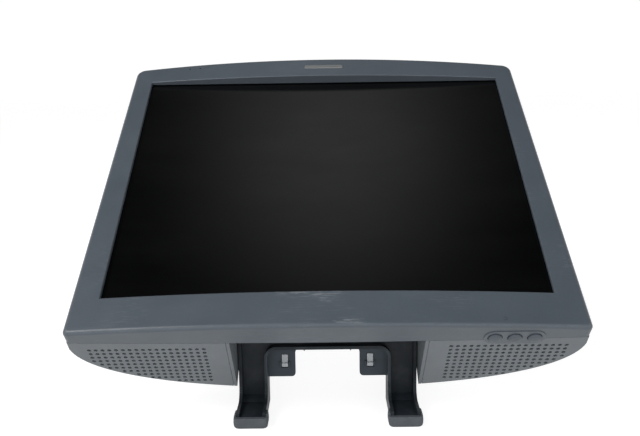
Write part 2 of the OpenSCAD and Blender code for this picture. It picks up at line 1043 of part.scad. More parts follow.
module stand_body() {
    difference() {
        union() {
            through_y(-leg_front, leg_back)
                polygon(arch(0, 20));
            for (side = [-1, 1]) {
                leg_block(side);
                box(
                    [side * rib_x - 0.4, -leg_front, arch_gap_h - 0.8],
                    [side * rib_x + 0.4, leg_back, arch_gap_h + 1]
                );
            }
        }
        through_y(-far, channel_y)
            polygon(arch(wall, toe_z + 4));
        through_y(channel_y + wall, far)
            polygon(arch(wall, leg_floor));
        for (side = [-1, 1])
            toe_channel(
                side > 0 ? leg_in + wall : -arch_half + wall,
                side > 0 ? arch_half - wall : -leg_in - wall
            );
    }
}

module stand_arch() {
    color([0.16, 0.18, 0.2])
        difference() {
            union() {
                stand_body();
                shaft_cheeks();
                for (side = [-1, 1])
                    corner_tab(side);
            }
            for (side = [-1, 1]) {
                box(
                    [side * knuckle_x - pocket_half, -far, axis_h - knuckle_r - 1.4],
                    [side * knuckle_x + pocket_half, far, far]
                );
                tongue_slit(side);
                runner_socket(side);
                on_runner(side)
                    translate([0, 2, 0])
                        cylinder(r = 2.2, h = 30);
            }
            bar_x(-far, far, 0, axis_h, shaft_r + 0.05);
        }
}

// springy tongue that hangs from the top of its slit
module snap_tongue(side) {
    x = side * tongue_x;
    color([0.55, 0.57, 0.58])
        union() {
            box([x - 2.5, channel_y, tongue_low], [x + 2.5, channel_y + 1.6, tongue_top]);
            box([x - 2.5, channel_y - 1.4, tongue_low], [x + 2.5, channel_y + 0.2, tongue_low + 3]);
        }
}

// ---- feet ----------------------------------------------------------------------------------

// rubber cap wrapped around the end of a toe
module toe_cap(side) {
    ear = 1.9;
    x0 = side > 0 ? leg_in - ear : -arch_half - ear;
    x1 = side > 0 ? arch_half + ear : -leg_in + ear;
    color([0.2, 0.21, 0.22])
        difference() {
            union() {
                through_x(x0, x1)
                    polygon(concat(
                        [[toe_front + 11, 0], [toe_front + 11, toe_z + 2.5]],
                        [[toe_front, toe_z + 2.5], [toe_front, toe_z + 0.6]],
                        arc([-toe_reach + 2.5, toe_z - 2], 2.5, 90, 180, 6),
                        arc([-toe_reach + 1.5, 1.5], 1.5, 180, 270, 4)
                    ));
            }
            box(
                [x0 + ear - slit, toe_front - slit, stand_low - slit],
                [x1 - ear + slit, far, far]
            );
        }
}

module runner(side) {
    color([0.16, 0.18, 0.2])
        on_runner(side)
            difference() {
                translate([0, 0, runner_low])
                    linear_extrude(runner_high - runner_low)
                        polygon(rounded_rect(-runner_w / 2, -3, runner_w / 2, heel_reach - 2, 1));
                box(
                    [-runner_w / 2 + 3, 16, runner_low - 1],
                    [runner_w / 2 - 3, heel_reach - 24, runner_high - 3]
                );
                translate([0, 2, 0])
                    cylinder(r = 1.9, h = 30);
            }
}

module runner_screw(side) {
    shank_low = runner_low + 1;
    color([0.6, 0.6, 0.61])
        on_runner(side)
            translate([0, 2, 0]) {
                translate([0, 0, shank_low])
                    cylinder(r = 1.7, h = leg_floor + 0.2 - shank_low);
                translate([0, 0, leg_floor + 0.05])
                    cylinder(r = 3.6, h = 2.4);
            }
}

module heel_cap(side) {
    w = runner_w / 2 + 1.8;
    end = heel_reach;
    color([0.2, 0.21, 0.22])
        on_runner(side)
            difference() {
                linear_extrude(runner_high + 1.8)
                    polygon(rounded_rect(-w, end - 20, w, end, 4));
                box(
                    [-runner_w / 2 - slit, end - 30, runner_low - slit],
                    [runner_w / 2 + slit, end - 2 + slit, runner_high + slit]
                );
            }
}

// ---- output --------------------------------------------------------------------------------

front_bezel();
badge();
mic_capsule();
lcd_cell();
lcd_frame();
light_guide();
backlight_tray();
chassis_plate();
main_board();
heat_sink();
power_board();
inverter_board();
rear_housing();
vesa_plate();
connector_plate();
power_inlet();
video_socket();
data_socket();
audio_socket();
speaker_cover(-1);  // speaker_cover_left
speaker_cover(1);  // speaker_cover_right
speaker_frame(-1);  // speaker_frame_left
speaker_frame(1);  // speaker_frame_right
speaker_cone(-1);  // speaker_cone_left
speaker_cone(1);  // speaker_cone_right
button_surround();
button_board();
button(1);  // button_1
button(2);  // button_2
button(3);  // button_3
hinge_bracket(-1);  // hinge_bracket_left
hinge_bracket(1);  // hinge_bracket_right
hinge_shaft();
friction_disc(-1);  // friction_disc_left
friction_disc(1);  // friction_disc_right
stand_arch();
snap_tongue(-1);  // snap_tongue_left
snap_tongue(1);  // snap_tongue_right
toe_cap(-1);  // toe_cap_left
toe_cap(1);  // toe_cap_right
runner(-1);  // runner_left
runner(1);  // runner_right
runner_screw(-1);  // runner_screw_left
runner_screw(1);  // runner_screw_right
heel_cap(-1);  // heel_cap_left
heel_cap(1);  // heel_cap_right
housing_screw(SCREWS[0]);  // housing_screw_1
housing_screw(SCREWS[1]);  // housing_screw_2
housing_screw(SCREWS[2]);  // housing_screw_3
housing_screw(SCREWS[3]);  // housing_screw_4
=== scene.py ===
import json
import math

import bmesh
import bpy
from mathutils import Euler, Matrix, Vector


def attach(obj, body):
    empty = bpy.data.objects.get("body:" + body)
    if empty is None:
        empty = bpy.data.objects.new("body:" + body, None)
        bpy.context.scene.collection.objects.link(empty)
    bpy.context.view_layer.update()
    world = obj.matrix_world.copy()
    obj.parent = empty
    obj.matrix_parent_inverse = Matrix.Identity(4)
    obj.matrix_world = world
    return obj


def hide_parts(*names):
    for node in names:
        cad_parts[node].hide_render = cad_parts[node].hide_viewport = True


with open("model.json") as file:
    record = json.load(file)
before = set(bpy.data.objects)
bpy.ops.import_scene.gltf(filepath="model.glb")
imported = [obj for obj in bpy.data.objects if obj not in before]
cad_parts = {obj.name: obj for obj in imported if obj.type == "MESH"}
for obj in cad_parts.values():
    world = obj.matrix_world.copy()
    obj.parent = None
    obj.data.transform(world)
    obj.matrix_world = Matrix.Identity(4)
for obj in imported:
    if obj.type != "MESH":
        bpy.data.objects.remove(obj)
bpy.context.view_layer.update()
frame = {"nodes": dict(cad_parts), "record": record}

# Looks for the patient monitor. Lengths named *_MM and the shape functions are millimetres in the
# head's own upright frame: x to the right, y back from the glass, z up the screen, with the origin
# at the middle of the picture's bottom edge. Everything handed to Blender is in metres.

NODES = frame["nodes"]
MM = 0.001

# ---- camera, first so that other views can recentre it ---------------------------------------

CAMERA_PLACE = (-0.0007, -0.6087, 0.2598)
CAMERA_TURN = (80.349, 0.802, 0.217)      # degrees about x, y and z
CAMERA_LENS_MM = 43.89
SENSOR_MM = 36


def make_camera():
    """The only camera, at the resting pose's viewing angle."""
    data = bpy.data.cameras.new("camera")
    data.lens = CAMERA_LENS_MM
    data.sensor_width = SENSOR_MM
    data.clip_start = 0.02
    data.clip_end = 60
    camera = bpy.data.objects.new("camera", data)
    camera.location = CAMERA_PLACE
    camera.rotation_euler = Euler([math.radians(a) for a in CAMERA_TURN])
    bpy.context.scene.collection.objects.link(camera)
    bpy.context.scene.camera = camera


make_camera()

# ---- sizes shared with the CAD model ---------------------------------------------------------

RECLINE_DEG = 54
AXIS_HEIGHT_MM = 67
AXIS_BACK_MM = 55.5
AXIS_UP_MM = 15.5
PICTURE_HALF_MM = 169
PICTURE_HIGH_MM = 270
HALF_TOP_MM = 187
HALF_BOTTOM_MM = 191.2
BORDER_BOTTOM_MM = 32
BORDER_TOP_MM = 29
TOP_ARCH_MM = 5.5
FACE_FRONT_MM = 9.9                       # the bulged face at x = 0, ahead of the glass
FACE_BULGE_MM = 5.7
BEZEL_BACK_MM = 13.5                      # the parting line at x = 0
PARTING_SAG_MM = 3.5                      # how much shallower it is at the sides
RIM_BACK_MM = -1.1
WALL_MM = 2.5
DRAFT_DEG = 4.7
POD_X_MM = 136                            # the oblong surround of the three push-buttons
POD_Y_MM = 8.7
POD_HALF_MM = 22.5
POD_R_MM = 8.2
SURROUND_GAP_MM = 0.06
PIN_HOLES_MM = ((-133.3, 288.6), (-122.9, 288.6))
PIN_HOLE_R_MM = 0.95
PLATE_HALF_MM = 19.3                      # the sunk seat of the blank name plate
PLATE_LOW_MM = 281.7
PLATE_HIGH_MM = 287.3
PLATE_R_MM = 2.79
PLATE_SUNK_MM = 0.8
BAY_FLOOR_MM = 49.5
BAY_MIDDLE_MM = 60
INLET_X_MM = -42
VIDEO_X_MM = 8
DATA_X_MM = 40
LEG_INNER_MM = 48.2
LEG_OUTER_MM = 71.2
TOE_REACH_MM = 46
TOE_FRONT_MM = 42                         # where the toe ends inside its rubber cap
TOE_EAR_MM = 1.9                          # thickness of the rubber beside the toe
TOE_SLACK_MM = 0.15
TOE_LOW_MM = 1.5
TOE_HIGH_MM = 8

FACE_RADIUS_MM = (PICTURE_HALF_MM**2 + FACE_BULGE_MM**2) / (2 * FACE_BULGE_MM)
PARTING_RADIUS_MM = (HALF_BOTTOM_MM**2 + PARTING_SAG_MM**2) / (2 * PARTING_SAG_MM)

# takes the head's upright millimetres to metres in the part's frame
HEAD = (
    Matrix.Translation((0, 0, AXIS_HEIGHT_MM * MM))
    @ Matrix.Rotation(math.radians(-RECLINE_DEG), 4, "X")
    @ Matrix.Translation((0, -AXIS_BACK_MM * MM, -AXIS_UP_MM * MM))
    @ Matrix.Scale(MM, 4)
)


def face_y(x):
    """Depth of the bulged front face at x."""
    return FACE_RADIUS_MM - FACE_FRONT_MM - math.sqrt(FACE_RADIUS_MM**2 - x * x)


def parting_y(x):
    """Depth of the curved parting line at x."""
    return BEZEL_BACK_MM - PARTING_RADIUS_MM + math.sqrt(PARTING_RADIUS_MM**2 - x * x)


def under_z(y):
    """Height of the sloping underside at depth y."""
    return -BORDER_BOTTOM_MM + (y + FACE_FRONT_MM) * math.tan(math.radians(DRAFT_DEG))


def on_underside(x, y):
    """Places a drawing on the sloping underside: z points into the head."""
    return Matrix.Translation((x, y, under_z(y))) @ Matrix.Rotation(math.radians(DRAFT_DEG), 4, "X")


# ---- mesh helpers ----------------------------------------------------------------------------

SMOOTH_DEG = 35


def arc(centre, radius, start, end, steps):
    """Points of an arc in a plane, angles in degrees."""
    turns = [math.radians(start + (end - start) * i / steps) for i in range(steps + 1)]
    return [(centre[0] + radius * math.cos(t), centre[1] + radius * math.sin(t)) for t in turns]


def rounded_rect(x0, z0, x1, z1, radius, steps=6):
    """Outline of a rectangle with round corners."""
    return (
        arc((x0 + radius, z0 + radius), radius, 180, 270, steps)
        + arc((x1 - radius, z0 + radius), radius, 270, 360, steps)
        + arc((x1 - radius, z1 - radius), radius, 0, 90, steps)
        + arc((x0 + radius, z1 - radius), radius, 90, 180, steps)
    )


def skin_rings(bm, rings, closed=False):
    """Joins neighbouring rings of equally many points with quads."""
    rows = [[bm.verts.new(p) for p in ring] for ring in rings]
    pairs = list(zip(rows, rows[1:]))
    if closed:
        pairs.append((rows[-1], rows[0]))
    for low, high in pairs:
        for i in range(len(low)):
            j = (i + 1) % len(low)
            bm.faces.new((low[i], low[j], high[j], high[i]))
    return rows


def prism(bm, outline, low, high, matrix=Matrix(), chamfer=0.0):
    """A closed prism of an outline in x and y, with its top edge chamfered."""
    middle = Vector([sum(c) / len(outline) for c in zip(*outline)])
    inner = []
    for point in outline:
        away = Vector(point) - middle
        inner.append(middle + away * (1 - chamfer / max(away.length, 1e-6)))
    rings = [[(x, y, low) for x, y in outline]]
    rings.append([(x, y, high - chamfer) for x, y in outline])
    if chamfer:
        rings.append([(p.x, p.y, high) for p in inner])
    rows = skin_rings(bm, [[matrix @ Vector(p) for p in ring] for ring in rings])
    bm.faces.new(list(reversed(rows[0])))
    bm.faces.new(rows[-1])


def piece(name, bm, material, body, placed=HEAD):
    """Turns a bmesh drawn in millimetres into a piece that rides on a body."""
    bmesh.ops.remove_doubles(bm, verts=bm.verts, dist=1e-4)
    bmesh.ops.dissolve_degenerate(bm, edges=bm.edges, dist=1e-4)
    bmesh.ops.recalc_face_normals(bm, faces=bm.faces)
    bmesh.ops.transform(bm, matrix=placed, verts=bm.verts)
    mesh = bpy.data.meshes.new(name)
    bm.to_mesh(mesh)
    bm.free()
    smooth(mesh)
    mesh.materials.append(material)
    obj = bpy.data.objects.new(name, mesh)
    bpy.context.scene.collection.objects.link(obj)
    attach(obj, body)
    return obj


def smooth(mesh):
    """Smooth shading with hard edges where faces meet steeply."""
    mesh.polygons.foreach_set("use_smooth", [True] * len(mesh.polygons))
    mesh.set_sharp_from_angle(angle=math.radians(SMOOTH_DEG))


def cut(obj, cutter_bm, placed=HEAD):
    """Takes closed shapes, drawn in millimetres, away from a piece for good."""
    bmesh.ops.recalc_face_normals(cutter_bm, faces=cutter_bm.faces)
    bmesh.ops.transform(cutter_bm, matrix=placed, verts=cutter_bm.verts)
    mesh = bpy.data.meshes.new("cutter")
    cutter_bm.to_mesh(mesh)
    cutter_bm.free()
    cutter = bpy.data.objects.new("cutter", mesh)
    bpy.context.scene.collection.objects.link(cutter)
    tool = obj.modifiers.new("cut", "BOOLEAN")
    tool.operation = "DIFFERENCE"
    tool.solver = "EXACT"
    tool.object = cutter
    graph = bpy.context.evaluated_depsgraph_get()
    result = bpy.data.meshes.new_from_object(obj.evaluated_get(graph))
    obj.modifiers.remove(tool)
    bpy.data.objects.remove(cutter)
    old = obj.data
    obj.data = result
    bpy.data.meshes.remove(old)
    smooth(result)


def soften(obj, width_mm, segments=2):
    """Rounds the sharp edges of a CAD node as it is shown."""
    weld = obj.modifiers.new("weld", "WELD")
    weld.merge_threshold = 2e-6
    flat = obj.modifiers.new("flat", "DECIMATE")
    flat.decimate_type = "DISSOLVE"
    flat.angle_limit = math.radians(0.5)
    bevel = obj.modifiers.new("bevel", "BEVEL")
    bevel.width = width_mm * MM
    bevel.segments = segments
    bevel.limit_method = "ANGLE"
    bevel.angle_limit = math.radians(SMOOTH_DEG)
    bevel.use_clamp_overlap = True
    normals = obj.modifiers.new("normals", "WEIGHTED_NORMAL")
    normals.keep_sharp = True


# ---- material helpers ------------------------------------------------------------------------


class Shades:
    """A material's node tree, with short calls for the nodes used here."""

    def __init__(self, name, on_head):
        self.material = bpy.data.materials.new(name)
        self.material.use_nodes = True
        self.tree = self.material.node_tree
        self.shader = self.tree.nodes["Principled BSDF"]
        where = self.tree.nodes.new("ShaderNodeTexCoord").outputs["Object"]
        self.place = self.head_place(where) if on_head else where

    def head_place(self, where):
        """Object coordinates turned into the head's upright frame, in metres."""
        node = self.tree.nodes.new("ShaderNodeMapping")
        turn = Matrix.Rotation(math.radians(RECLINE_DEG), 3, "X")
        offset = turn @ Vector((0, 0, -AXIS_HEIGHT_MM)) + Vector((0, AXIS_BACK_MM, AXIS_UP_MM))
        node.inputs["Location"].default_value = offset * MM
        node.inputs["Rotation"].default_value = (math.radians(RECLINE_DEG), 0, 0)
        self.tree.links.new(where, node.inputs["Vector"])
        return node.outputs["Vector"]

    def join(self, value, socket):
        """Links an output to a socket, or sets a constant on it."""
        if isinstance(value, bpy.types.NodeSocket):
            self.tree.links.new(value, socket)
        else:
            socket.default_value = value

    def stretched(self, scale):
        """The place vector scaled per axis, for grain that runs one way."""
        node = self.tree.nodes.new("ShaderNodeMapping")
        node.inputs["Scale"].default_value = scale
        self.join(self.place, node.inputs["Vector"])
        return node.outputs["Vector"]

    def noise(self, size_mm, detail=2.0, roughness=0.5, place=None):
        """Cloudy noise from 0 to 1 whose features are about size_mm across."""
        node = self.tree.nodes.new("ShaderNodeTexNoise")
        node.inputs["Scale"].default_value = 1 / (size_mm * MM)
        node.inputs["Detail"].default_value = detail
        node.inputs["Roughness"].default_value = roughness
        self.join(place or self.place, node.inputs["Vector"])
        return node.outputs["Fac"]

    def cells(self, size_mm, feature="F1"):
        """Distance to the nearest of scattered points about size_mm apart."""
        node = self.tree.nodes.new("ShaderNodeTexVoronoi")
        node.feature = feature
        node.inputs["Scale"].default_value = 1 / (size_mm * MM)
        self.join(self.place, node.inputs["Vector"])
        return node.outputs["Distance"]

    def span(self, value, low, high, to_low=0.0, to_high=1.0):
        """Maps a value from one range onto another, held at both ends."""
        node = self.tree.nodes.new("ShaderNodeMapRange")
        for name, number in (
            ("From Min", low), ("From Max", high), ("To Min", to_low), ("To Max", to_high)
        ):
            node.inputs[name].default_value = number
        self.join(value, node.inputs["Value"])
        return node.outputs["Result"]

    def maths(self, operation, a, b):
        """A two-input Math node."""
        node = self.tree.nodes.new("ShaderNodeMath")
        node.operation = operation
        self.join(a, node.inputs[0])
        self.join(b, node.inputs[1])
        return node.outputs["Value"]

    def blend(self, factor, a, b):
        """Mixes two colours."""
        node = self.tree.nodes.new("ShaderNodeMix")
        node.data_type = "RGBA"
        self.join(factor, node.inputs[0])
        self.join(a if isinstance(a, bpy.types.NodeSocket) else (*a, 1), node.inputs[6])
        self.join(b if isinstance(b, bpy.types.NodeSocket) else (*b, 1), node.inputs[7])
        return node.outputs[2]

    def axes(self):
        """The head's or the part's x, y and z as three values."""
        node = self.tree.nodes.new("ShaderNodeSeparateXYZ")
        self.join(self.place, node.inputs["Vector"])
        return node.outputs

    def bump(self, height, depth_mm, strength=1.0, below=None):
        """Adds relief, on top of another bump's if one is given."""
        node = self.tree.nodes.new("ShaderNodeBump")
        node.inputs["Strength"].default_value = strength
        node.inputs["Distance"].default_value = depth_mm * MM
        self.join(height, node.inputs["Height"])
        if below is not None:
            self.join(below, node.inputs["Normal"])
        return node.outputs["Normal"]

    def edges(self, radius_mm):
        """1 along sharp edges and 0 on flats."""
        rounded = self.tree.nodes.new("ShaderNodeBevel")
        rounded.samples = 4
        rounded.inputs["Radius"].default_value = radius_mm * MM
        actual = self.tree.nodes.new("ShaderNodeNewGeometry")
        dot = self.tree.nodes.new("ShaderNodeVectorMath")
        dot.operation = "DOT_PRODUCT"
        self.join(rounded.outputs["Normal"], dot.inputs[0])
        self.join(actual.outputs["Normal"], dot.inputs[1])
        return self.span(dot.outputs["Value"], 0.99, 0.86)

    def finish(self, colour, rough, normal):
        """Links the three channels that every material varies."""
        self.join(colour, self.shader.inputs["Base Color"])
        self.join(rough, self.shader.inputs["Roughness"])
        self.join(normal, self.shader.inputs["Normal"])
        return self.material


def lighter(colour, factor):
    """A colour scaled in brightness."""
    return tuple(min(1.0, c * factor) for c in colour)


def srgb(red, green, blue):
    """Linear colour from 0 to 255 display values."""
    return tuple(
        v / 12.92 if v <= 0.04045 else ((v + 0.055) / 1.055) ** 2.4
        for v in (red / 255, green / 255, blue / 255)
    )


def box_mask(shades, x_range, z_range, edge_mm):
    """1 inside a rectangle of x and z in millimetres, fading over edge_mm."""
    axes = shades.axes()
    mask = 1.0
    for value, (low, high) in ((axes["X"], x_range), (axes["Z"], z_range)):
        rise = shades.span(value, (low - edge_mm) * MM, low * MM)
        fall = shades.span(value, high * MM, (high + edge_mm) * MM, 1.0, 0.0)
        mask = shades.maths("MULTIPLY", mask, shades.maths("MULTIPLY", rise, fall))
    return mask


# ---- materials -------------------------------------------------------------------------------

BEZEL_BLUE = srgb(66, 73, 80)
HOUSING_GREY = srgb(92, 97, 101)
STAND_SLATE = srgb(30, 35, 40)
RUBBER_GREY = srgb(66, 70, 74)


GRAIN_DEPTH_MM = 0.02


def moulded(name, on_head, colour, rough, grain_mm=0.55, wear=0.35, dust=0.0, shine=0.3):
    """Moulded plastic: spark-eroded grain, faint mottling, worn edges and settled dust."""
    s = Shades(name, on_head)
    s.shader.inputs["Specular IOR Level"].default_value = shine
    clouds = s.noise(38, 3.0)
    specks = s.noise(2.2, 2.0)
    tint = s.blend(s.span(clouds, 0.3, 0.7), lighter(colour, 0.95), lighter(colour, 1.06))
    tint = s.blend(s.span(specks, 0.35, 0.75, 0.0, 0.35), tint, lighter(colour, 0.88))
    worn = s.maths("MULTIPLY", s.edges(0.8), s.span(s.noise(6, 3.0), 0.42, 0.62, 0.0, wear))
    tint = s.blend(worn, tint, lighter(colour, 1.9))
    if dust:
        powder = s.span(s.noise(14, 5.0, 0.65), 0.45, 0.75, 0.0, dust)
        tint = s.blend(powder, tint, srgb(150, 152, 150))
    grain = s.noise(grain_mm, 3.0, 0.6)
    pits = s.cells(grain_mm * 1.6, "SMOOTH_F1")
    normal = s.bump(s.maths("ADD", grain, pits), GRAIN_DEPTH_MM, 0.6)
    gloss = s.span(s.noise(21, 4.0), 0.3, 0.7, rough - 0.05, rough + 0.06)
    gloss = s.maths("SUBTRACT", gloss, s.maths("MULTIPLY", worn, 0.15))
    return s, tint, gloss, normal


def plain_moulded(name, on_head, colour, rough, **more):
    """A moulded plastic with no marks of its own."""
    s, tint, gloss, normal = moulded(name, on_head, colour, rough, **more)
    return s.finish(tint, gloss, normal)


def bezel_plastic(name, on_head):
    """Blue-grey bezel with rubbed scuffs below the picture and hairline scratches."""
    s, tint, gloss, normal = moulded(name, on_head, BEZEL_BLUE, 0.4, wear=0.45, shine=0.4)
    streaks = s.span(s.noise(3, 4.0, 0.7, s.stretched((0.22, 1, 2.2))), 0.5, 0.6)
    fine = s.span(s.noise(1.2, 4.0, 0.7, s.stretched((0.1, 1, 1.4))), 0.56, 0.62)
    rubbed = 0.0
    for x_range, z_range, amount in (
        ((-36, 9), (-4.2, -2.0), 0.2),
        ((-4, 2), (-9, -3), 0.14),
        ((6, 26), (-28.2, -27.0), 0.18),
    ):
        patch = s.maths("MULTIPLY", box_mask(s, x_range, z_range, 3), amount)
        rubbed = s.maths("MAXIMUM", rubbed, s.maths("MULTIPLY", patch, streaks))
    hairs = s.maths("MULTIPLY", fine, s.span(s.noise(60, 2.0), 0.5, 0.72, 0.0, 0.10))
    marks = s.maths("MAXIMUM", rubbed, hairs)
    tint = s.blend(marks, tint, srgb(176, 180, 184))
    gloss = s.maths("ADD", gloss, s.maths("MULTIPLY", marks, 0.25))
    return s.finish(tint, gloss, s.bump(marks, 0.02, 0.4, normal))


def stand_plastic(name, on_head):
    """Dark slate moulding with painted light on the two corner tabs: a paler cloudy tint there stands for the
    light they catch, while the leg channels stay dark.
    """
    s, tint, gloss, normal = moulded(name, on_head, STAND_SLATE, 0.5, wear=0.5, dust=0.04, shine=0.18)
    # painted light: the corner tabs get a paler cloudy tint for the light falling on them, a lit copy of the
    # same slate as the darker leg channels
    lit_tab_area = box_mask(s, (-LEG_INNER_MM, LEG_INNER_MM), (26, 49), 3)
    painted_tab_light = s.maths("MULTIPLY", lit_tab_area, s.span(s.noise(9, 4.0), 0.3, 0.7, 0.75, 1.0))
    return s.finish(s.blend(painted_tab_light, tint, lighter(STAND_SLATE, 2.6)), gloss, normal)


def screen_glass(name, on_head):
    """Black panel behind a matt anti-glare film with dust and faint wipe marks."""
    s = Shades(name, on_head)
    smear = s.noise(55, 4.0, 0.6, s.stretched((0.45, 1, 1.3)))
    dust = s.span(s.cells(7), 0.0, 0.035, 0.12, 0.0)
    black = s.blend(s.span(smear, 0.35, 0.7), (0.0009, 0.0010, 0.0011), (0.0016, 0.0017, 0.0018))
    tint = s.blend(dust, black, (0.03, 0.03, 0.03))
    sparkle = s.noise(0.12, 2.0)
    s.shader.inputs["IOR"].default_value = 1.45
    s.shader.inputs["Specular IOR Level"].default_value = 0.25
    return s.finish(tint, s.span(smear, 0.3, 0.75, 0.2, 0.26), s.bump(sparkle, 0.002, 0.35))


def sheet_metal(name, on_head, colour, rough, brush=(1, 1, 1), spangle=0.0):
    """Bare metal: fine rolling lines, zinc spangle where asked, and dull handling marks."""
    s = Shades(name, on_head)
    lines = s.noise(0.5, 3.0, 0.65, s.stretched(brush))
    clouds = s.noise(17, 4.0)
    tint = s.blend(s.span(lines, 0.3, 0.7), lighter(colour, 0.86), lighter(colour, 1.08))
    if spangle:
        flakes = s.span(s.cells(6), 0.1, 0.7, 0.0, spangle)
        tint = s.blend(flakes, tint, lighter(colour, 0.7))
    tint = s.blend(s.span(clouds, 0.5, 0.8, 0.0, 0.35), tint, lighter(colour, 0.72))
    worn = s.maths("MULTIPLY", s.edges(0.4), 0.5)
    tint = s.blend(worn, tint, lighter(colour, 1.25))
    s.shader.inputs["Metallic"].default_value = 1.0
    gloss = s.span(clouds, 0.3, 0.75, rough - 0.07, rough + 0.12)
    return s.finish(tint, gloss, s.bump(lines, 0.006, 0.4))


def rubber(name, on_head):
    """Soft dark rubber with a chalky bloom and a fine matt tooth."""
    s = Shades(name, on_head)
    s.shader.inputs["Specular IOR Level"].default_value = 0.2
    bloom = s.span(s.noise(9, 5.0, 0.65), 0.4, 0.75, 0.0, 0.45)
    tint = s.blend(bloom, RUBBER_GREY, lighter(RUBBER_GREY, 1.5))
    rubbed = s.maths("MULTIPLY", s.edges(0.9), s.span(s.noise(3, 3.0), 0.4, 0.65, 0.0, 0.5))
    tint = s.blend(rubbed, tint, lighter(RUBBER_GREY, 2.0))
    tooth = s.noise(0.35, 3.0, 0.6)
    gloss = s.span(s.noise(5, 3.0), 0.3, 0.7, 0.68, 0.84)
    return s.finish(tint, gloss, s.bump(tooth, 0.03, 0.6))


def circuit_board(name, on_head, colour):
    """Solder mask over raised copper tracks, with pads showing through."""
    s = Shades(name, on_head)
    tracks = s.span(s.cells(4.5, "DISTANCE_TO_EDGE"), 0.05, 0.08, 1.0, 0.0)
    pads = s.span(s.cells(3.1), 0.12, 0.15, 1.0, 0.0)
    tint = s.blend(tracks, colour, lighter(colour, 1.7))
    tint = s.blend(pads, tint, (0.55, 0.5, 0.42))
    relief = s.maths("ADD", tracks, pads)
    return s.finish(tint, s.span(pads, 0, 1, 0.34, 0.22), s.bump(relief, 0.035, 0.8))


def clear_acrylic(name, on_head):
    """Light guide with printed dots that scatter the light."""
    s = Shades(name, on_head)
    dots = s.span(s.cells(1.6), 0.2, 0.24, 1.0, 0.0)
    tint = s.blend(dots, (0.86, 0.89, 0.9), (0.97, 0.97, 0.97))
    s.shader.inputs["Transmission Weight"].default_value = 0.6
    s.shader.inputs["IOR"].default_value = 1.49
    return s.finish(tint, s.span(dots, 0, 1, 0.08, 0.7), s.bump(dots, 0.01, 0.5))


def cone_paper(name, on_head):
    """Pressed speaker paper with long fibres."""
    s = Shades(name, on_head)
    fibres = s.noise(1.4, 5.0, 0.7, s.stretched((0.3, 1, 1)))
    tint = s.blend(s.span(fibres, 0.35, 0.7), (0.02, 0.019, 0.018), (0.05, 0.047, 0.042))
    return s.finish(tint, s.span(fibres, 0.3, 0.7, 0.8, 0.95), s.bump(fibres, 0.08, 0.7))


MATERIALS = {
    "bezel_plastic": bezel_plastic,
    "housing_plastic": lambda n, h: plain_moulded(n, h, HOUSING_GREY, 0.55, grain_mm=0.8),
    "button_plastic": lambda n, h: plain_moulded(n, h, lighter(BEZEL_BLUE, 0.92), 0.42),
    "badge_metal": lambda n, h: sheet_metal(n, h, srgb(178, 180, 181), 0.42, (0.06, 1, 1)),
    "screen_glass": screen_glass,
    "panel_steel": lambda n, h: sheet_metal(n, h, (0.13, 0.13, 0.14), 0.42, (0.1, 1, 1)),
    "clear_acrylic": clear_acrylic,
    "sheet_steel": lambda n, h: sheet_metal(n, h, (0.58, 0.6, 0.61), 0.36, (0.12, 1, 1), 0.35),
    "circuit_board": lambda n, h: circuit_board(n, h, (0.012, 0.075, 0.035)),
    "power_circuit_board": lambda n, h: circuit_board(n, h, (0.16, 0.1, 0.03)),
    "bare_aluminium": lambda n, h: sheet_metal(n, h, (0.62, 0.63, 0.64), 0.3, (1, 1, 0.08)),
    "plated_shell": lambda n, h: sheet_metal(n, h, (0.68, 0.67, 0.63), 0.24, (0.3, 1, 1)),
    "black_plastic": lambda n, h: plain_moulded(n, h, (0.012, 0.012, 0.013), 0.4, grain_mm=0.4),
    "green_plastic": lambda n, h: plain_moulded(n, h, (0.05, 0.27, 0.09), 0.38, grain_mm=0.4),
    "cone_paper": cone_paper,
    "hinge_steel": lambda n, h: sheet_metal(n, h, (0.42, 0.43, 0.44), 0.34, (1, 0.2, 1)),
    "shaft_steel": lambda n, h: sheet_metal(n, h, (0.56, 0.56, 0.57), 0.2, (0.05, 1, 1)),
    "stand_plastic": stand_plastic,
    "tongue_plastic": lambda n, h: plain_moulded(n, h, srgb(150, 154, 158), 0.45, dust=0.1),
    "runner_aluminium": lambda n, h: plain_moulded(n, h, STAND_SLATE, 0.42, grain_mm=0.3),
    "foot_rubber": rubber,
    "screw_steel": lambda n, h: sheet_metal(n, h, (0.2, 0.2, 0.21), 0.3),
}
STAND_BODIES = ("stand", "tongue_left", "tongue_right")
MADE = {}                                 # materials made so far, by name


def material_for(slot, body):
    """The slot's material, made once for the head and once for the stand."""
    on_head = body not in STAND_BODIES
    name = slot + ("_head" if on_head else "_stand")
    if name not in MADE:
        MADE[name] = MATERIALS[slot](name, on_head)
    return MADE[name]


def dress_cad_nodes():
    """Gives every CAD node the material of its slot."""
    body_of = {n: body for body, names in frame["record"]["behaviour"]["bodies"].items() for n in names}
    for part in frame["record"]["subparts"]:
        obj = NODES[part["node"]]
        obj.data.materials.clear()
        obj.data.materials.append(material_for(part["material_slot"], body_of[part["node"]]))


# ---- the bezel -------------------------------------------------------------------------------

LONG_STEPS = 72                           # points along the top and bottom edges
SIDE_STEPS = 24
EDGE_ROUND_MM = 3.4                       # rounding of the face's outer edge
LIP_ROUND_MM = 0.9                        # rounding around the picture opening
BACK_ROUND_MM = 0.5
CUT_FAR_MM = 30                           # past the front of the face
ROUND_STEPS = 6
FACE_STEPS = 7


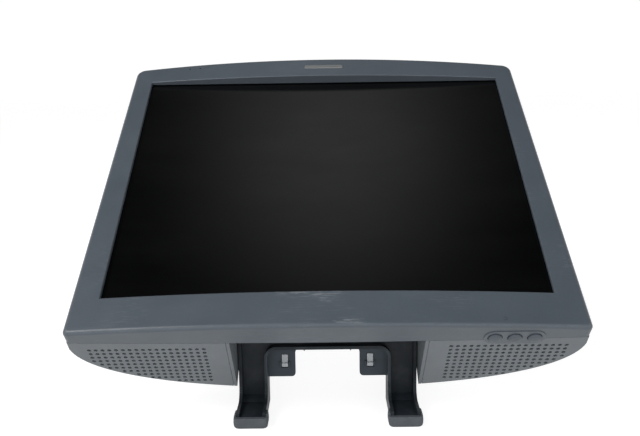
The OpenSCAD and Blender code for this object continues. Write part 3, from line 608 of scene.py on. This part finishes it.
def outline(inset):
    """The head's outline from the front, drawn inset from its outer edge."""
    low = -BORDER_BOTTOM_MM + inset
    high = PICTURE_HIGH_MM + BORDER_TOP_MM - TOP_ARCH_MM - inset
    r_low = 4 - inset / 2
    r_high = 9 - inset
    side_low = HALF_BOTTOM_MM - inset
    span_low = side_low - r_low
    span_high = HALF_TOP_MM - inset - r_high
    bottom = [(span_low * (2 * i / LONG_STEPS - 1), low) for i in range(1, LONG_STEPS)]
    top = [
        (x, high + TOP_ARCH_MM * (1 - (x / span_high) ** 2))
        for x in (span_high * (1 - 2 * i / LONG_STEPS) for i in range(1, LONG_STEPS))
    ]
    right_low = arc((span_low, low + r_low), r_low, 270, 360, 6)
    right_high = arc((span_high, high - r_high), r_high, 0, 86, 8)
    right = [between(right_low[-1], right_high[0], i / SIDE_STEPS) for i in range(1, SIDE_STEPS)]
    left_low = [(-x, z) for x, z in reversed(right_low)]
    left_high = [(-x, z) for x, z in reversed(right_high)]
    left = [(-x, z) for x, z in reversed(right)]
    return left_low + bottom + right_low + right + right_high + top + left_high + left


def between(a, b, t):
    """The point a share t of the way from a to b."""
    return tuple(p + (q - p) * t for p, q in zip(a, b))


def picture_point(point, margin):
    """Where the picture's edge, widened by margin, is nearest to an outline point."""
    x, z = point
    if abs(x) >= PICTURE_HALF_MM:
        x = math.copysign(PICTURE_HALF_MM + margin, x)
    if z <= 0:
        z = -margin
    elif z >= PICTURE_HIGH_MM:
        z = PICTURE_HIGH_MM + margin
    return x, z


def settled(x, y, z):
    """Lifts points near the bottom edge onto the sloping underside."""
    lift = under_z(y) + BORDER_BOTTOM_MM
    share = max(0.0, 1 - (z + BORDER_BOTTOM_MM) / 20)
    return x, y, z + lift * share


def outer_ring(inset, depth):
    """A ring around the outline; depth is a number or a function of x."""
    points = outline(inset)
    return [settled(x, depth(x) if callable(depth) else depth, z) for x, z in points]


def face_ring(share):
    """A ring on the face, from its outer edge (0) to the opening's lip (1)."""
    ring = []
    for point in outline(EDGE_ROUND_MM):
        x, z = between(point, picture_point(point, LIP_ROUND_MM), share)
        ring.append((x, face_y(x), z))
    return ring


def opening_ring(margin, depth):
    """A ring around the picture opening."""
    points = [picture_point(p, margin) for p in outline(EDGE_ROUND_MM)]
    return [(x, depth(x) if callable(depth) else depth, z) for x, z in points]


def bezel_rings():
    """All the rings, from the back edge over the face and the lip to the inside and its back edge."""
    rings = [outer_ring(BACK_ROUND_MM, parting_y)]
    rings.append(outer_ring(0, lambda x: parting_y(x) - BACK_ROUND_MM))
    for i in range(ROUND_STEPS + 1):
        turn = math.radians(90 * i / ROUND_STEPS)
        drop = EDGE_ROUND_MM * (1 - math.sin(turn))
        rings.append(outer_ring(EDGE_ROUND_MM * (1 - math.cos(turn)), lambda x, d=drop: face_y(x) + d))
    rings += [face_ring(i / FACE_STEPS) for i in range(1, FACE_STEPS)]
    for i in range(ROUND_STEPS + 1):
        turn = math.radians(90 * i / ROUND_STEPS)
        drop = LIP_ROUND_MM * (1 - math.cos(turn))
        margin = LIP_ROUND_MM * (1 - math.sin(turn))
        rings.append(opening_ring(margin, lambda x, d=drop: face_y(x) + d))
    rings.append(opening_ring(0, RIM_BACK_MM))
    rings.append(opening_ring(2, RIM_BACK_MM))
    rings.append(opening_ring(2.2, lambda x: min(face_y(x) + WALL_MM, RIM_BACK_MM - 0.2)))
    rings.append(outer_ring(WALL_MM + 1, lambda x: face_y(x) + WALL_MM))
    rings.append(outer_ring(WALL_MM, lambda x: face_y(x) + WALL_MM + 1))
    rings.append(outer_ring(WALL_MM, parting_y))
    return rings


def make_bezel():
    """The bezel as one moulding with rounded edges, cut for the buttons, microphone and name plate."""
    bm = bmesh.new()
    skin_rings(bm, bezel_rings(), closed=True)
    bezel = piece("bezel_shell", bm, material_for("bezel_plastic", "head"), "head")
    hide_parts("front_bezel")
    cutters = bmesh.new()
    gap = SURROUND_GAP_MM
    slot_shape = rounded_rect(
        -POD_HALF_MM - gap, -POD_R_MM - gap, POD_HALF_MM + gap, POD_R_MM + gap, POD_R_MM + gap - 0.01, 12
    )
    prism(cutters, slot_shape, -3 * WALL_MM, 2 * WALL_MM, on_underside(POD_X_MM, POD_Y_MM))
    facing = Matrix.Rotation(math.radians(90), 4, "X")
    for x, z in PIN_HOLES_MM:
        prism(cutters, arc((x, z), PIN_HOLE_R_MM, 0, 345, 23), 0, CUT_FAR_MM, facing)
    pill = rounded_rect(-PLATE_HALF_MM, PLATE_LOW_MM, PLATE_HALF_MM, PLATE_HIGH_MM, PLATE_R_MM)
    prism(cutters, pill, FACE_FRONT_MM - PLATE_SUNK_MM, CUT_FAR_MM, facing)
    cut(bezel, cutters)
    normals = bezel.modifiers.new("normals", "WEIGHTED_NORMAL")
    normals.keep_sharp = True


# ---- small pieces ----------------------------------------------------------------------------

INK_MM = 0.05
MARK_Z_MM = -25.1
RING_X_MM = 127.7
RING_R_MM = 1.5
RING_LINE_MM = 0.35
DOTS_X_MM = 150.1
DOTS_R_MM = 1.8
DOT_R_MM = 0.22


def make_corner_marks():
    """Two plain printed marks on the bezel above the buttons: a ring and a dotted arc."""
    bm = bmesh.new()
    facing = Matrix.Rotation(math.radians(90), 4, "X")
    y = -face_y(RING_X_MM)
    low, high = y - 0.1, y + INK_MM
    outer, inner = [arc((RING_X_MM, MARK_Z_MM), r, 0, 350, 35) for r in (RING_R_MM, RING_R_MM - RING_LINE_MM)]
    rings = [[(*p, h) for p in rim] for rim, h in ((outer, low), (outer, high), (inner, high), (inner, low))]
    skin_rings(bm, [[facing @ Vector(p) for p in ring] for ring in rings], closed=True)
    for turn in range(0, 181, 30):
        angle = math.radians(turn)
        centre = (DOTS_X_MM + DOTS_R_MM * math.cos(angle), MARK_Z_MM + DOTS_R_MM * math.sin(angle))
        y = -face_y(centre[0])
        prism(bm, arc(centre, DOT_R_MM, 0, 330, 11), y - 0.1, y + INK_MM, facing)
    ink = plain_moulded("faint_ink", True, lighter(BEZEL_BLUE, 0.45), 0.5)
    piece("corner_marks", bm, ink, "head")


def make_inlet_pins():
    """Three plated blades with chamfered tips in the mains inlet."""
    bm = bmesh.new()
    back = Matrix.Rotation(math.radians(-90), 4, "X")
    for x, z in ((-7, -2), (0, 2), (7, -2)):
        blade = rounded_rect(
            INLET_X_MM + x - 1.05, -BAY_MIDDLE_MM - z - 2.05,
            INLET_X_MM + x + 1.05, -BAY_MIDDLE_MM - z + 2.05, 0.25, 3
        )
        prism(bm, blade, BAY_FLOOR_MM - 12.05, BAY_FLOOR_MM - 3.9, back, 0.4)
    piece("inlet_pins", bm, material_for("plated_shell", "head"), "head")


def make_video_insert():
    """Dark insert with three rows of contact holes at the bottom of the video socket."""
    bm = bmesh.new()
    back = Matrix.Rotation(math.radians(-90), 4, "X")
    low = BAY_FLOOR_MM - 5
    shape = [(-12.3, -3.8), (12.3, -3.8), (10.9, 3.8), (-10.9, 3.8)]
    shape = [(x + VIDEO_X_MM, y - BAY_MIDDLE_MM) for x, y in shape]
    prism(bm, shape, low, low + 2.4, back, 0.2)
    insert = piece("video_insert", bm, material_for("black_plastic", "head"), "head")
    holes = bmesh.new()
    for row in (-1, 0, 1):
        for column in range(5):
            x = VIDEO_X_MM + (column - 2) * 2.3 + (0.55 if row else -0.55)
            prism(holes, arc((x, row * 2 - BAY_MIDDLE_MM), 0.55, 0, 330, 11), low + 0.6, low + 9, back)
    cut(insert, holes)


def make_data_contacts():
    """Eight sprung gold wires in the network socket."""
    bm = bmesh.new()
    for i in range(8):
        x = DATA_X_MM + (i - 3.5) * 1.02
        bends = ((-11.8, 4.3), (-4, 4.2), (-2.2, 3.6), (-3.4, 2.6), (-10.5, -0.4))
        line = [(BAY_FLOOR_MM + y, BAY_MIDDLE_MM + z) for y, z in bends]
        rings = [
            [(x + a, y, z + b) for a, b in ((-0.2, -0.12), (0.2, -0.12), (0.2, 0.12), (-0.2, 0.12))]
            for y, z in line
        ]
        rows = skin_rings(bm, rings)
        bm.faces.new(list(reversed(rows[0])))
        bm.faces.new(rows[-1])
    piece("data_contacts", bm, material_for("plated_shell", "head"), "head")


def pillow_block(bm, x0, y0, x1, y1, high, levels, corner=3.0):
    """A closed block with bulged sides: levels are (share of the height, inset) pairs."""
    rings = []
    for share, inset in levels:
        rim = rounded_rect(x0 + inset, y0 + inset, x1 - inset, y1 - inset / 4, corner)
        rings.append([(x, y, high * share) for x, y in rim])
    rows = skin_rings(bm, rings)
    bm.faces.new(list(reversed(rows[0])))
    bm.faces.new(rows[-1])


def box_cutter(bm, low, high):
    """Adds a plain box to the shapes that a cut takes away."""
    outline_xy = [(low[0], low[1]), (high[0], low[1]), (high[0], high[1]), (low[0], high[1])]
    prism(bm, outline_xy, low[2], high[2])


def make_toe_cap(name, side):
    """A soft rubber cap: bulged outside, pocketed for the toe, lower across its front lip."""
    x0, x1 = sorted((side * (LEG_INNER_MM - TOE_EAR_MM), side * (LEG_OUTER_MM + TOE_EAR_MM)))
    high = TOE_HIGH_MM + 2.5
    levels = (
        (0, 2.0), (0.04, 1.2), (0.12, 0.55), (0.3, 0.1), (0.5, 0),
        (0.7, 0.1), (0.88, 0.3), (0.97, 0.6), (1, 1.1)
    )
    bm = bmesh.new()
    pillow_block(bm, x0, -TOE_REACH_MM, x1, -TOE_FRONT_MM + 11, high, levels)
    cap = piece(name, bm, material_for("foot_rubber", "stand"), "stand", Matrix.Scale(MM, 4))
    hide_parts(name.replace("_skin", ""))
    lip_top = TOE_HIGH_MM + 0.6
    wall = TOE_EAR_MM - TOE_SLACK_MM
    pocket_low = (x0 + wall, -TOE_FRONT_MM - TOE_SLACK_MM, TOE_LOW_MM - TOE_SLACK_MM)
    pocket = pocket_low, (x1 - wall, 0, 2 * high)
    over_lip = (x0 - 5, -TOE_REACH_MM - 5, lip_top), (x1 + 5, -TOE_FRONT_MM + 0.4, 2 * high)
    for low_corner, high_corner in (pocket, over_lip):
        cutter = bmesh.new()
        box_cutter(cutter, low_corner, high_corner)
        cut(cap, cutter, Matrix.Scale(MM, 4))
    soften(cap, 0.45, 3)


SOFT_EDGES_MM = {
    "stand_arch": 0.6, "rear_housing": 0.6, "runner_left": 0.6, "runner_right": 0.6,
    "heel_cap_left": 0.8, "heel_cap_right": 0.8, "vesa_plate": 0.4, "button_surround": 0.3,
    "badge": 0.3, "snap_tongue_left": 0.3, "snap_tongue_right": 0.3, "connector_plate": 0.2,
    "power_inlet": 0.3, "video_socket": 0.3, "hinge_bracket_left": 0.5, "hinge_bracket_right": 0.5,
}

# ---- stage -----------------------------------------------------------------------------------

FLOOR_HALF = 20
FLOOR_GLOW = 0.86                         # lifts the floor to the white of a light table


def make_floor():
    """A wide pale floor."""
    bm = bmesh.new()
    corners = [(-1, -1), (1, -1), (1, 1), (-1, 1)]
    bm.faces.new([bm.verts.new((x * FLOOR_HALF, y * FLOOR_HALF, -0.0002)) for x, y in corners])
    mesh = bpy.data.meshes.new("floor")
    bm.to_mesh(mesh)
    bm.free()
    s = Shades("floor_paint", False)
    tint = s.blend(s.noise(400, 3.0), (0.26, 0.26, 0.26), (0.28, 0.28, 0.28))
    s.shader.inputs["Emission Color"].default_value = (1, 1, 1, 1)
    s.shader.inputs["Emission Strength"].default_value = FLOOR_GLOW
    mesh.materials.append(s.finish(tint, 0.9, s.bump(s.noise(2, 2.0), 0.02, 0.2)))
    floor = bpy.data.objects.new("floor", mesh)
    bpy.context.scene.collection.objects.link(floor)


GLOW_TOWARDS = (0.01, 0.21, 0.977)        # where the ceiling glows
GLOW_REACH_DEG = 15
GLOW_LEVEL = 1.6


def make_sky():
    """White walls around a dark ceiling with one soft round glow, which the screen mirrors."""
    world = bpy.data.worlds.new("studio")
    world.use_nodes = True
    bpy.context.scene.world = world
    tree = world.node_tree
    where = tree.nodes.new("ShaderNodeTexCoord").outputs["Generated"]
    axes = tree.nodes.new("ShaderNodeSeparateXYZ")
    tree.links.new(where, axes.inputs["Vector"])
    ramp = tree.nodes.new("ShaderNodeValToRGB")
    tree.links.new(axes.outputs["Z"], ramp.inputs["Fac"])
    stops = ((0.0, 1.0), (0.3, 1.0), (0.45, 0.75), (0.7, 0.006))
    marks = ramp.color_ramp.elements
    while len(marks) < len(stops):
        marks.new(0.5)
    for mark, (place, level) in zip(marks, stops):
        mark.position = place
        mark.color = (level, level, level, 1)
    near = tree.nodes.new("ShaderNodeVectorMath")
    near.operation = "DOT_PRODUCT"
    tree.links.new(where, near.inputs[0])
    near.inputs[1].default_value = GLOW_TOWARDS
    fade = tree.nodes.new("ShaderNodeMapRange")
    fade.inputs["From Min"].default_value = math.cos(math.radians(GLOW_REACH_DEG))
    tree.links.new(near.outputs["Value"], fade.inputs["Value"])
    rounded = tree.nodes.new("ShaderNodeMath")
    rounded.operation = "POWER"
    rounded.inputs[1].default_value = 3
    tree.links.new(fade.outputs["Result"], rounded.inputs[0])
    level = tree.nodes.new("ShaderNodeMath")
    level.operation = "MULTIPLY_ADD"
    level.inputs[1].default_value = GLOW_LEVEL
    tree.links.new(rounded.outputs["Value"], level.inputs[0])
    tree.links.new(ramp.outputs["Color"], level.inputs[2])
    back = tree.nodes["Background"]
    tree.links.new(level.outputs["Value"], back.inputs["Color"])
    back.inputs["Strength"].default_value = 1.02


def lamp(name, place, aim, size, power):
    """A softbox, size wide and high, pointed at a spot."""
    data = bpy.data.lights.new(name, "AREA")
    data.shape = "RECTANGLE"
    data.size, data.size_y = size
    data.energy = power
    obj = bpy.data.objects.new(name, data)
    obj.location = place
    obj.rotation_euler = (Vector(aim) - Vector(place)).to_track_quat("-Z", "Y").to_euler()
    bpy.context.scene.collection.objects.link(obj)


def make_lights():
    """A key at the left, a weak fill at the right and a long strip in front that lights the edges."""
    middle = (0, 0.05, 0.15)
    lamp("key", (-1.5, -1.2, 1.9), middle, (1.4, 1.0), 58)
    lamp("fill", (1.9, -1.2, 1.6), middle, (1.2, 1.2), 14)
    lamp("front_strip", (0, -2.2, 0.75), middle, (3.6, 0.22), 12)


# ---- putting it together ---------------------------------------------------------------------

dress_cad_nodes()
make_bezel()
make_corner_marks()
make_inlet_pins()
make_video_insert()
make_data_contacts()
make_toe_cap("toe_cap_left_skin", -1)
make_toe_cap("toe_cap_right_skin", 1)
for node_name, width in SOFT_EDGES_MM.items():
    soften(NODES[node_name], width)
make_floor()
make_sky()
make_lights()
bpy.context.scene.view_settings.view_transform = "Standard"
